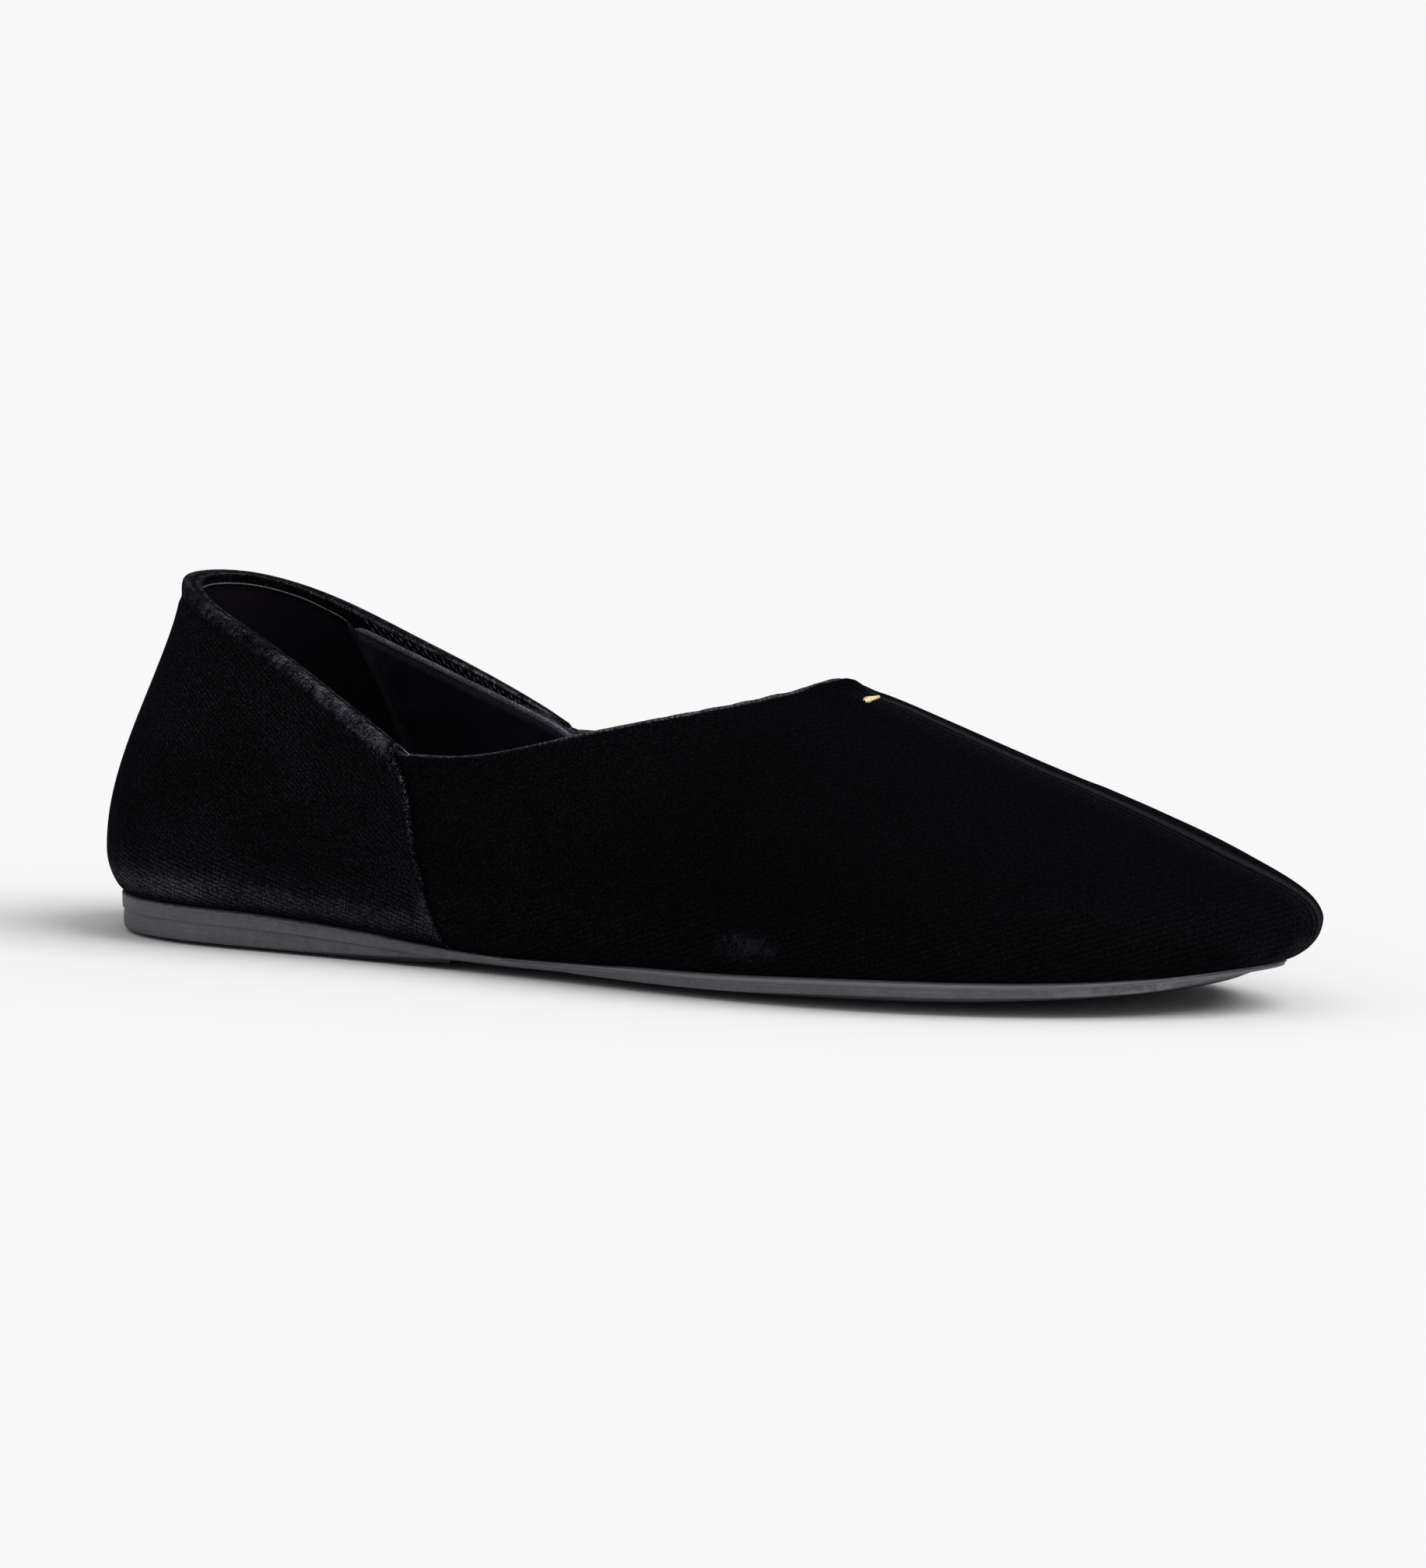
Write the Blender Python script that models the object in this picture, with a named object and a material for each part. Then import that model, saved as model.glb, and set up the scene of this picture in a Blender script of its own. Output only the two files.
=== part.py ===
"""Velvet slipper flat for the right foot, standing empty on its sole.

The heel is at the low end of X and the toe at the high end. The outer side of the foot is at -Y.
All tables are in millimetres, measured from the back of the heel, the middle of the heel and the floor.
"""
from collections import namedtuple

import bpy
import numpy as np

MM = 0.001

# Walls and clearances.
WALL = 2.4              # velvet, backing and lining together
COLLAR_WALL = 3.6       # padded edge round the foot opening
COLLAR_ROWS = 3         # rows under the topline over which the padding swells
THROAT_PADDING = 0.35   # share of the padding that is left at the throat
ROLL = 0.62             # height of the rolled edge, as a share of half its thickness
QUARTER_STEP = 0.5      # the quarter stands this far proud of the vamp at the side seam
SEAM_RUN = 0.12         # length of that step, as a share of the next station's distance
GAP = 0.3               # clearance between pieces that are glued together

# Sole.
SOLE_OUT = 0.9          # the sole's edge stands out past the upper's tucked edge
CAMBER_RUN = 9.0        # width of the cambered border of the outsole's underside
INSOLE_THICK = 2.2
INSOLE_SIDE = 0.5       # clearance from the insole to the upper's wall
INSOLE_FLARE = 1.2      # the insole's upper edge spreads out under the upper's bulge
INSOLE_CHAMFER = 0.5

# How the wall curves out from its edge, as shares of the bulge and of the fullest line's height.
TUCK_OUT = 0.55
TUCK_UP = 0.12
SWELL_DOWN = 0.45

# Fineness of the grids.
COLUMNS_PER_STATION = 5
ROWS_UNDER_FULLEST = 3
ROWS_OVER_FULLEST = 9
ROLL_STEPS = 4

# The upper's tucked edge, where it meets the sole. out and inn are the half widths on the two sides.
# The wall swells by bulge beyond that edge, and is fullest at the height full above it.
Edge = namedtuple("Edge", "x out inn z bulge full")
EDGE = {
    "heel": Edge(3.6, 0.0, 0.0, 7.8, 3.3, 8.0),
    "heel_turn": Edge(9.0, 16.5, 16.5, 7.8, 3.1, 8.5),
    "heel_side": Edge(24.0, 26.8, 26.2, 7.7, 3.2, 9.0),
    "counter": Edge(50.0, 29.8, 28.0, 7.3, 3.0, 10.0),
    "quarter": Edge(77.0, 30.6, 27.0, 5.6, 3.0, 11.0),
    "side_seam": Edge(97.0, 32.0, 26.6, 4.1, 3.0, 11.0),
    "wing": Edge(109.5, 33.5, 27.0, 3.7, 3.0, 11.0),
    "waist": Edge(122.0, 35.0, 28.0, 3.9, 3.0, 11.0),
    "instep": Edge(143.0, 38.0, 31.5, 4.5, 3.0, 11.0),
    "throat": Edge(164.0, 40.0, 35.0, 5.0, 3.0, 11.0),
    "ball": Edge(183.0, 39.8, 36.8, 5.7, 3.0, 11.0),
    "joint": Edge(203.0, 36.6, 35.8, 6.1, 3.2, 10.5),
    "toe_box": Edge(221.5, 29.4, 30.6, 6.4, 3.6, 9.0),
    "toe_turn": Edge(238.8, 17.2, 19.6, 7.4, 5.4, 7.5),
    "toe": Edge(250.5, -1.8, 1.8, 8.8, 7.8, 7.0),
}

# The topline: the collar from the heel to the throat, then the ridge of the vamp down to the toe.
# dip is how much lower the inner side's collar runs. tilt is the slope in degrees at which each side's
# wall arrives at the topline, rise and reach how full that wall is.
Top = namedtuple("Top", "x out inn z dip tilt_out tilt_in rise reach")
TOP = {
    "heel": Top(17.5, 0.0, 0.0, 68.4, 0.0, 80, 80, 0.35, 0.30),
    "heel_turn": Top(20.5, 11.5, 11.0, 67.8, 0.5, 80, 80, 0.35, 0.30),
    "heel_side": Top(29.5, 20.0, 19.0, 64.9, 1.1, 80, 80, 0.35, 0.30),
    "counter": Top(47.5, 25.0, 23.6, 57.9, 1.8, 80, 80, 0.35, 0.30),
    "quarter": Top(67.5, 27.8, 27.0, 47.7, 0.7, 80, 80, 0.35, 0.30),
    "side_seam": Top(84.2, 29.5, 29.5, 38.5, 0.2, 80, 80, 0.35, 0.30),
    "wing": Top(95.0, 29.3, 29.0, 38.6, 0.1, 77, 77, 0.36, 0.31),
    "waist": Top(112.0, 28.0, 27.0, 41.7, 0.0, 70, 70, 0.38, 0.32),
    "instep": Top(138.5, 18.0, 18.0, 49.2, 0.0, 45, 45, 0.42, 0.36),
    "throat": Top(160.0, -2.0, 2.0, 54.8, 0.0, 10, 2, 0.45, 0.42),
    "ball": Top(178.5, -2.2, 2.2, 48.3, 0.0, 10, 2, 0.45, 0.42),
    "joint": Top(199.0, -2.2, 2.2, 41.0, 0.0, 10, 2, 0.45, 0.42),
    "toe_box": Top(218.0, -2.0, 2.0, 34.7, 0.0, 10, 2, 0.45, 0.42),
    "toe_turn": Top(232.0, -1.8, 1.8, 29.6, 0.0, 12, 4, 0.45, 0.42),
    "toe": Top(241.5, -1.8, 1.8, 25.8, 0.0, 20, 20, 0.50, 0.50),
}

# Height of the outsole's underside along its middle, camber by which its sides stand above that,
# and height of the heel lift's underside as far as the lift goes.
Under = namedtuple("Under", "x outsole camber lift")
UNDER = {
    "heel": Under(3.6, 4.1, 0.0, 0.0),
    "heel_side": Under(24.0, 4.0, 0.0, 0.0),
    "counter": Under(50.0, 3.7, 0.0, 0.0),
    "quarter": Under(77.0, 2.6, 0.0, 0.0),
    "side_seam": Under(100.0, 1.4, 0.0, 0.5),
    "waist": Under(122.0, 1.2, 0.3, None),
    "instep": Under(143.0, 0.7, 0.6, None),
    "throat": Under(164.0, 0.0, 1.4, None),
    "ball": Under(188.0, 0.0, 2.4, None),
    "joint": Under(204.0, 0.5, 2.3, None),
    "toe_box": Under(221.5, 1.9, 1.4, None),
    "toe_turn": Under(238.8, 3.9, 0.7, None),
    "toe": Under(250.5, 6.3, 0.4, None),
}

# Side of each sole layer from top to bottom: inset from the sole's outline, and share of the way down.
Side = namedtuple("Side", "inset down")
OUTSOLE_SIDE = (
    Side(0.40, 0.00),
    Side(0.00, 0.10),
    Side(0.00, 0.26),
    Side(0.40, 0.34),
    Side(0.35, 0.72),
    Side(0.60, 0.92),
    Side(1.30, 1.00),
)
LIFT_SIDE = (
    Side(0.55, 0.00),
    Side(0.35, 0.10),
    Side(0.35, 0.60),
    Side(0.70, 0.90),
    Side(1.50, 1.00),
)

# Colour and roughness of each piece's plain material.
Finish = namedtuple("Finish", "colour roughness")
FINISHES = {
    "upper": Finish((0.022, 0.022, 0.026), 0.85),
    "insole": Finish((0.060, 0.057, 0.058), 0.80),
    "outsole": Finish((0.070, 0.068, 0.070), 0.45),
    "heel_lift": Finish((0.060, 0.058, 0.060), 0.50),
}

STATIONS = list(EDGE)
SEAM = STATIONS.index("side_seam")
THROAT = STATIONS.index("throat")
LAST = len(STATIONS) - 1


def column(table, field):
    """One column of a table, leaving out the rows that have no value there."""
    return np.array([getattr(row, field) for row in table.values() if getattr(row, field) is not None], float)


def spline(knots, values, at):
    """A smooth cubic curve through the values at the knots, read at the places in at."""
    count = len(knots)
    span = np.diff(knots)
    flat = values.reshape(count, -1)
    slope = np.diff(flat, axis=0) / span[:, None]
    matrix = np.eye(count)
    right = np.zeros_like(flat)
    for i in range(1, count - 1):
        matrix[i, i - 1:i + 2] = span[i - 1], 2 * (span[i - 1] + span[i]), span[i]
        right[i] = 6 * (slope[i] - slope[i - 1])
    bend = np.linalg.solve(matrix, right)
    at = np.asarray(at, float)
    k = np.clip(np.searchsorted(knots, at, side="right") - 1, 0, count - 2)
    ahead = ((knots[k + 1] - at) / span[k])[:, None]
    behind = ((at - knots[k]) / span[k])[:, None]
    curve = (ahead ** 3 - ahead) * bend[k] + (behind ** 3 - behind) * bend[k + 1]
    read = ahead * flat[k] + behind * flat[k + 1] + curve * span[k][:, None] ** 2 / 6
    return read.reshape(at.shape + values.shape[1:])


def closed_spline(knots, values, at, lap=3):
    """The same for a ring whose last value is its first."""
    length = knots[-1] - knots[0]
    more_knots = np.concatenate([knots[-1 - lap:-1] - length, knots, knots[1:lap + 1] + length])
    more_values = np.concatenate([values[-1 - lap:-1], values, values[1:lap + 1]])
    return spline(more_knots, more_values, at)


def chord_lengths(points):
    """Distance travelled along a row of points."""
    return np.concatenate([[0.0], np.cumsum(np.linalg.norm(np.diff(points, axis=0), axis=1))])


def edge_height(x):
    """Height of the upper's tucked edge at the distance x from the heel."""
    return spline(column(EDGE, "x"), column(EDGE, "z"), x)


def under_height(x, layer):
    """Height of a sole layer's underside, pressed flat where it meets the floor."""
    values = column(UNDER, layer)
    return np.maximum(spline(column(UNDER, "x")[:len(values)], values, x), 0.0)


def side_height(x):
    """Height of the outsole's lower edge, which the camber lifts off the floor."""
    values = column(UNDER, "camber")
    return under_height(x, "outsole") + np.maximum(spline(column(UNDER, "x"), values, x), 0.0)


def column_places():
    """Station numbers of the columns along one side, with a close pair at the side seam."""
    places = {k + j / COLUMNS_PER_STATION for k in range(LAST) for j in range(COLUMNS_PER_STATION)}
    return np.array(sorted(places | {SEAM + SEAM_RUN, LAST}))


def edge_ring(places):
    """Edge points and level outward directions: heel, outer side, toe, inner side and back."""
    outer = np.stack([column(EDGE, "x"), -column(EDGE, "out")], axis=1)
    inner = np.stack([column(EDGE, "x"), column(EDGE, "inn")], axis=1)
    ring = np.concatenate([outer, inner[-2::-1]])
    knots = chord_lengths(ring)
    at = np.interp(places, np.arange(len(ring)), knots)
    points = closed_spline(knots, ring, at)
    step = 0.05
    travel = closed_spline(knots, ring, at + step) - closed_spline(knots, ring, at - step)
    travel /= np.linalg.norm(travel, axis=1, keepdims=True)
    outward = np.stack([travel[:, 1], -travel[:, 0]], axis=1)
    return points, outward


def top_line(places):
    """Points of the topline for the columns of the ring, smooth but for corners at seam and throat."""
    outer = np.stack([column(TOP, "x"), -column(TOP, "out"), column(TOP, "z")], axis=1)
    inner = np.stack([column(TOP, "x"), column(TOP, "inn"), column(TOP, "z") - column(TOP, "dip")], axis=1)
    on_outer = places <= LAST
    station = np.where(on_outer, places, 2 * LAST - places)
    points = np.zeros((len(places), 3))
    back = np.concatenate([inner[SEAM:0:-1], outer[:SEAM + 1]])
    signed = np.where(on_outer, station, -station)
    rear = station <= SEAM
    knots = chord_lengths(back)
    points[rear] = spline(knots, back, np.interp(signed[rear], np.arange(-SEAM, SEAM + 1), knots))
    for side, here in ((outer, on_outer), (inner, ~on_outer)):
        for first, last in ((SEAM, THROAT), (THROAT, LAST)):
            run = here & (station > first) & (station <= last)
            part = side[first:last + 1]
            knots = chord_lengths(part)
            points[run] = spline(knots, part, np.interp(station[run], np.arange(first, last + 1), knots))
    return points


def around(values_outer, values_inner, places):
    """Station values spread over the columns of the ring."""
    both = np.concatenate([values_outer, values_inner[-2::-1]])
    return np.interp(places, np.arange(len(both)), both)[:, None]


def bezier(ends, handles, count):
    """Points along cubic curves, one curve for each column."""
    t = np.linspace(0.0, 1.0, count + 1)[None, :, None]
    start, finish = (p[:, None, :] for p in ends)
    leave, arrive = (p[:, None, :] for p in handles)
    near = (1 - t) ** 3 * start + 3 * (1 - t) ** 2 * t * leave
    return near + 3 * (1 - t) * t ** 2 * arrive + t ** 3 * finish


def outer_skin(places):
    """Columns round the shoe by rows from the tucked edge over the fullest line to the topline."""
    level, outward = edge_ring(places)
    edge = np.column_stack([level, edge_height(level[:, 0])])
    out = np.column_stack([outward, np.zeros(len(outward))])
    up = np.array([0.0, 0.0, 1.0])
    top = top_line(places)
    station = np.minimum(places, 2 * LAST - places)
    proud = np.where(station <= SEAM, QUARTER_STEP, 0.0)[:, None]
    bulge = around(column(EDGE, "bulge"), column(EDGE, "bulge"), places) + proud
    full = around(column(EDGE, "full"), column(EDGE, "full"), places)
    rise = around(column(TOP, "rise"), column(TOP, "rise"), places)
    reach = around(column(TOP, "reach"), column(TOP, "reach"), places)
    tilt = np.radians(around(column(TOP, "tilt_out"), column(TOP, "tilt_in"), places))
    top = top + out * proud
    level_run = (top - edge) * (1.0, 1.0, 0.0)
    along = level_run - out * np.sum(level_run * out, axis=1, keepdims=True)
    share = full / (top - edge)[:, 2:]
    fullest = edge + out * bulge + up * full + along * share
    tuck = edge + out * bulge * TUCK_OUT + up * full * TUCK_UP
    swell = fullest - (up * full + along * share) * SWELL_DOWN
    climb = top - fullest
    leave = fullest + (up * climb[:, 2:] + along * (1 - share)) * rise
    inward = climb * (1.0, 1.0, 0.0)
    inward /= np.linalg.norm(inward, axis=1, keepdims=True)
    arm = np.linalg.norm(climb, axis=1, keepdims=True) * reach
    arrive = top - (inward * np.cos(tilt) + up * np.sin(tilt)) * arm
    low = bezier((edge, fullest), (tuck, swell), ROWS_UNDER_FULLEST)
    high = bezier((fullest, top), (leave, arrive), ROWS_OVER_FULLEST)
    return np.concatenate([low, high[:, 1:]], axis=1), out


def vertex_normals(points, quads):
    """Outward direction at each point of a skin of quads."""
    corner = points[quads]
    face = np.cross(corner[:, 2] - corner[:, 0], corner[:, 3] - corner[:, 1])
    total = np.zeros_like(points)
    for k in range(4):
        np.add.at(total, quads[:, k], face)
    return total / np.maximum(np.linalg.norm(total, axis=1, keepdims=True), 1e-9)


def make_upper(side):
    """The hollow upper: an outer skin, an inner skin, a rolled collar and a flat rim under the edge."""
    places = np.concatenate([side, 2 * LAST - side[-2:0:-1]])
    skin, out = outer_skin(places)
    columns, rows = skin.shape[:2]
    index = np.arange(columns * rows).reshape(columns, rows)
    throat = int(np.searchsorted(side, THROAT))
    toe = len(side) - 1
    for c in range(throat, toe):
        index[columns - c, -1] = index[c, -1]
    used, index = np.unique(index, return_inverse=True)
    index = index.reshape(columns, rows)
    points = skin.reshape(-1, 3)[used]
    following = np.roll(index, -1, axis=0)
    quads = np.stack([index[:, :-1], following[:, :-1], following[:, 1:], index[:, 1:]], axis=-1).reshape(-1, 4)
    normal = vertex_normals(points, quads)

    station = np.minimum(places, 2 * LAST - places)[:, None]
    padding = np.interp(station, [SEAM, THROAT, THROAT + 1], [1.0, THROAT_PADDING, 0.0])
    swell = np.clip((np.arange(rows) - (rows - 1 - COLLAR_ROWS)) / COLLAR_ROWS, 0.0, 1.0)[None, :]
    wall = np.zeros(len(points))
    wall[index.ravel()] = (WALL + (COLLAR_WALL - WALL) * padding * swell ** 2).ravel()
    facing = normal.copy()
    facing[index[:, 0]] = out
    inner = points - facing * wall[:, None]
    count = len(points)

    loop = np.concatenate([index[:throat + 1, -1], index[columns - throat + 1:, -1]])
    travel = points[np.roll(loop, -1)] - points[np.roll(loop, 1)]
    travel /= np.linalg.norm(travel, axis=1, keepdims=True)
    across = np.cross(normal[loop], travel)
    half = wall[loop][:, None] / 2
    middle = points[loop] - normal[loop] * half
    ends = [loop]
    vertices = [points, inner]
    for k in range(1, ROLL_STEPS):
        angle = np.pi * k / ROLL_STEPS
        vertices.append(middle + half * (normal[loop] * np.cos(angle) + across * np.sin(angle) * ROLL))
        ends.append(2 * count + (k - 1) * len(loop) + np.arange(len(loop)))
    ends.append(loop + count)

    faces = [quads, quads[:, ::-1] + count]
    foot = index[:, 0]
    faces.append(np.stack([foot, foot + count, np.roll(foot, -1) + count, np.roll(foot, -1)], axis=-1))
    for lower, upper in zip(ends, ends[1:]):
        faces.append(np.stack([lower, np.roll(lower, -1), np.roll(upper, -1), upper], axis=-1))
    return np.concatenate(vertices), np.concatenate(faces).tolist()


def layer_rings(side, insets, heights):
    """Rings of a flat layer on the two sides of the shoe, each a level outline at its own height."""
    rings = []
    for inset, height in zip(insets, heights):
        pair = []
        for places in (side, 2 * LAST - side):
            level, outward = edge_ring(places)
            level = level - outward * inset
            pair.append(np.column_stack([level, height(level[:, 0])]))
        rings.append(pair)
    return rings


def make_layer(rings):
    """Closed layer from its rings, top ring first, with strips across the width as top and bottom."""
    count = len(rings[0][0])
    vertices = np.concatenate([chain for pair in rings for chain in pair])
    outer = [2 * k * count + np.arange(count) for k in range(len(rings))]
    inner = [(2 * k + 1) * count + np.arange(count) for k in range(len(rings))]
    meets_at_toe = np.allclose(rings[0][0][-1], rings[0][1][-1])
    for k in range(len(rings)):
        inner[k][0] = outer[k][0]
        if meets_at_toe:
            inner[k][-1] = outer[k][-1]
    faces = []
    for high, low in zip(range(len(rings)), range(1, len(rings))):
        for i in range(count - 1):
            faces.append((outer[low][i], outer[low][i + 1], outer[high][i + 1], outer[high][i]))
            faces.append((inner[high][i], inner[high][i + 1], inner[low][i + 1], inner[low][i]))
        if not meets_at_toe:
            faces.append((outer[low][-1], inner[low][-1], inner[high][-1], outer[high][-1]))
    for i in range(count - 1):
        faces.append((outer[0][i], outer[0][i + 1], inner[0][i + 1], inner[0][i]))
        faces.append((inner[-1][i], inner[-1][i + 1], outer[-1][i + 1], outer[-1][i]))
    faces = [list(dict.fromkeys(int(v) for v in face)) for face in faces]
    used = sorted({v for face in faces for v in face})
    renumber = {v: i for i, v in enumerate(used)}
    return vertices[used], [[renumber[v] for v in face] for face in faces]


def between(top, under, down):
    """Height function that lies the share down of the way from one surface to another."""
    return lambda x: top(x) * (1 - down) + under(x) * down


def make_outsole(side):
    """The outsole runs the whole length, with a lip along its top edge and a rounded lower edge."""
    def top(x):
        return edge_height(x) - GAP

    def under(x):
        return under_height(x, "outsole")

    insets = [row.inset - SOLE_OUT for row in OUTSOLE_SIDE] + [CAMBER_RUN]
    heights = [between(top, side_height, row.down) for row in OUTSOLE_SIDE] + [under]
    return make_layer(layer_rings(side, insets, heights))


def make_heel_lift(side):
    """The heel lift is a wedge under the outsole that thins out at the side seam."""
    def top(x):
        return under_height(x, "outsole") - GAP

    def under(x):
        return under_height(x, "lift")

    rear = side[side <= SEAM]
    insets = [row.inset - SOLE_OUT for row in LIFT_SIDE]
    return make_layer(layer_rings(rear, insets, [between(top, under, row.down) for row in LIFT_SIDE]))


def make_insole(side):
    """The insole fills the floor of the shoe inside the upper's wall."""
    def top(x):
        return edge_height(x) + INSOLE_THICK

    def shoulder(x):
        return top(x) - INSOLE_CHAMFER

    foot = WALL + INSOLE_SIDE
    rim = foot - INSOLE_FLARE
    insets = (rim + INSOLE_CHAMFER, rim, foot)
    return make_layer(layer_rings(side, insets, (top, shoulder, edge_height)))


def add_piece(name, vertices, faces):
    """One named object with its own plain material."""
    mesh = bpy.data.meshes.new(name)
    mesh.from_pydata(vertices.tolist(), [], faces)
    mesh.polygons.foreach_set("use_smooth", [True] * len(mesh.polygons))
    mesh.set_sharp_from_angle(angle=np.radians(40.0))
    mesh.update()
    material = bpy.data.materials.new(name)
    material.use_nodes = True
    shader = material.node_tree.nodes["Principled BSDF"]
    shader.inputs["Base Color"].default_value = (*FINISHES[name].colour, 1.0)
    shader.inputs["Roughness"].default_value = FINISHES[name].roughness
    mesh.materials.append(material)
    piece = bpy.data.objects.new(name, mesh)
    bpy.context.scene.collection.objects.link(piece)


def main():
    for old in list(bpy.data.objects):
        bpy.data.objects.remove(old)
    side = column_places()
    pieces = {
        "upper": make_upper(side),
        "insole": make_insole(side),
        "outsole": make_outsole(side),
        "heel_lift": make_heel_lift(side),
    }
    everything = np.concatenate([vertices for vertices, faces in pieces.values()])
    low = everything.min(axis=0)
    high = everything.max(axis=0)
    middle = (low + high) / 2
    origin = np.array([middle[0], middle[1], low[2]])
    for name, (vertices, faces) in pieces.items():
        add_piece(name, (vertices - origin) * MM, faces)


main()
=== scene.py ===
# %% [markdown]
# # A velvet slipper flat
# This shoe is a soft slipper: a black velvet upper with a padded collar that dips to a notch at each
# side, a seam down the middle of the vamp, a lining, a thin cambered sole and a low heel lift.
# The solids already have the true sizes, so every cell below starts from them and adds what a maker
# would add by hand: soft seams and creases, stitches, the nap of the velvet and the burnished edge.

# %% Load the solids
import math

import bpy
import numpy as np
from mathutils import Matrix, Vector
from mathutils.kdtree import KDTree


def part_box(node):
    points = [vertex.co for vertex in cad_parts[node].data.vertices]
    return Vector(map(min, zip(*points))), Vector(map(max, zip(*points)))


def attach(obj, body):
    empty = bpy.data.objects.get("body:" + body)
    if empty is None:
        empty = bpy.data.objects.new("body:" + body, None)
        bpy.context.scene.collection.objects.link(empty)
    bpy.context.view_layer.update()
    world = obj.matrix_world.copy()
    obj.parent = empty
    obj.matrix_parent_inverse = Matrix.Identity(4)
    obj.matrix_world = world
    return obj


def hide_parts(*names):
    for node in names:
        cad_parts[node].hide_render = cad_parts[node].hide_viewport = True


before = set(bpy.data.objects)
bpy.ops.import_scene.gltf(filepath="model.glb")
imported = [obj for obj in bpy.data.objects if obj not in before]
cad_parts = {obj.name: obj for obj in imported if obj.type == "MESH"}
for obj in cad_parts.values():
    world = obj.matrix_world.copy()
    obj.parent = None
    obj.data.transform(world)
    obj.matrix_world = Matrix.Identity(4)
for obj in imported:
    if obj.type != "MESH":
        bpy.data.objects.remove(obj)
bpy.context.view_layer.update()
MM = 0.001
for name in sorted(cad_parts):
    low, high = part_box(name)
    print(name, "spans", [round(v / MM, 1) for v in high - low], "mm")

# %% [markdown]
# The camera looks at the outer side of the shoe from a little above the floor, turned toward the toe.
# A long lens from more than a metre away keeps the heel and the toe in proportion. The aim is the
# middle of the shoe as it is seen, so that it sits in the middle of the picture without any shift.

# %% Camera
AZIMUTH = math.radians(33.0)
ELEVATION = math.radians(6.1)
DISTANCE = 1.19
LENS = 146.6
STATION = Vector((-4.05, 1.61, 30.0)) * MM
AIM_RIGHT = 7.5 * MM
AIM_UP = 3.4 * MM

to_camera = Vector((math.sin(AZIMUTH) * math.cos(ELEVATION),
                    -math.cos(AZIMUTH) * math.cos(ELEVATION),
                    math.sin(ELEVATION)))
camera_right = Vector((math.cos(AZIMUTH), math.sin(AZIMUTH), 0.0))
camera_up = to_camera.cross(camera_right)
aim = STATION + camera_right * AIM_RIGHT + camera_up * AIM_UP

bpy.ops.object.select_all(action="DESELECT")
bpy.ops.object.camera_add(location=STATION + to_camera * DISTANCE)
camera = bpy.context.object
camera.rotation_mode = "QUATERNION"
camera.rotation_quaternion = (aim - camera.location).to_track_quat("-Z", "Y")
camera.data.sensor_width = 36.0
camera.data.lens = LENS
camera.data.clip_start = 0.05
camera.data.clip_end = 60.0
bpy.context.scene.camera = camera
print("camera", [round(v, 3) for v in camera.location], "m from the shoe's origin")

# %% [markdown]
# Materials below are written as sums on wires. A wire is one output of a node: adding or multiplying
# two wires puts in a Math node, and `node` puts in any other node. That reads like arithmetic, and it
# keeps the long chains of a velvet short enough to follow.

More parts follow.
